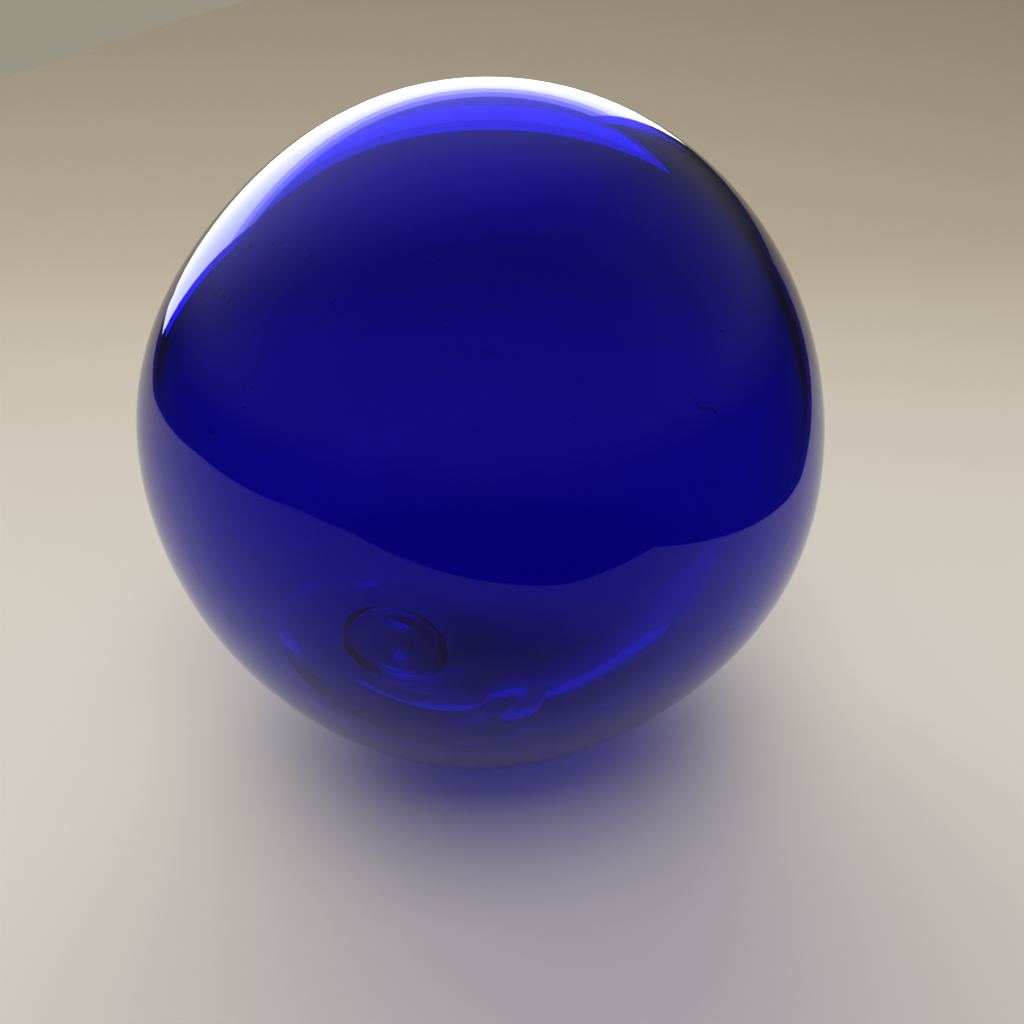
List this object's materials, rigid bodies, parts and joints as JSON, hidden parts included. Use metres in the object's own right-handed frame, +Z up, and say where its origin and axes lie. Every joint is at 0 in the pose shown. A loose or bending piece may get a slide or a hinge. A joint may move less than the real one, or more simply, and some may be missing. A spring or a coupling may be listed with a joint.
{
  "type": "glass float ball",
  "caption": "Hand-blown ball of deep cobalt glass, a net float kept as an ornament, closed by a pressed seal button and resting on a small flat spot.",
  "frame": {"origin": "centre of the small flat spot on the underside that the ball rests on", "axes": "+Z up, square to the flat spot; looking along +Y, +X is to the right and the seal button lies low on the left"},
  "size_m": [0.1504, 0.15, 0.1498],
  "materials": {
    "cobalt_glass": "smooth blown cobalt glass, see-through and glossy",
    "seal_glass": "smooth cobalt glass, thicker and so darker, with a pressed face"
  },
  "bodies": {
    "root": {"blown_globe": "cobalt_glass", "seal_button": "seal_glass"}
  },
  "joints": []
}
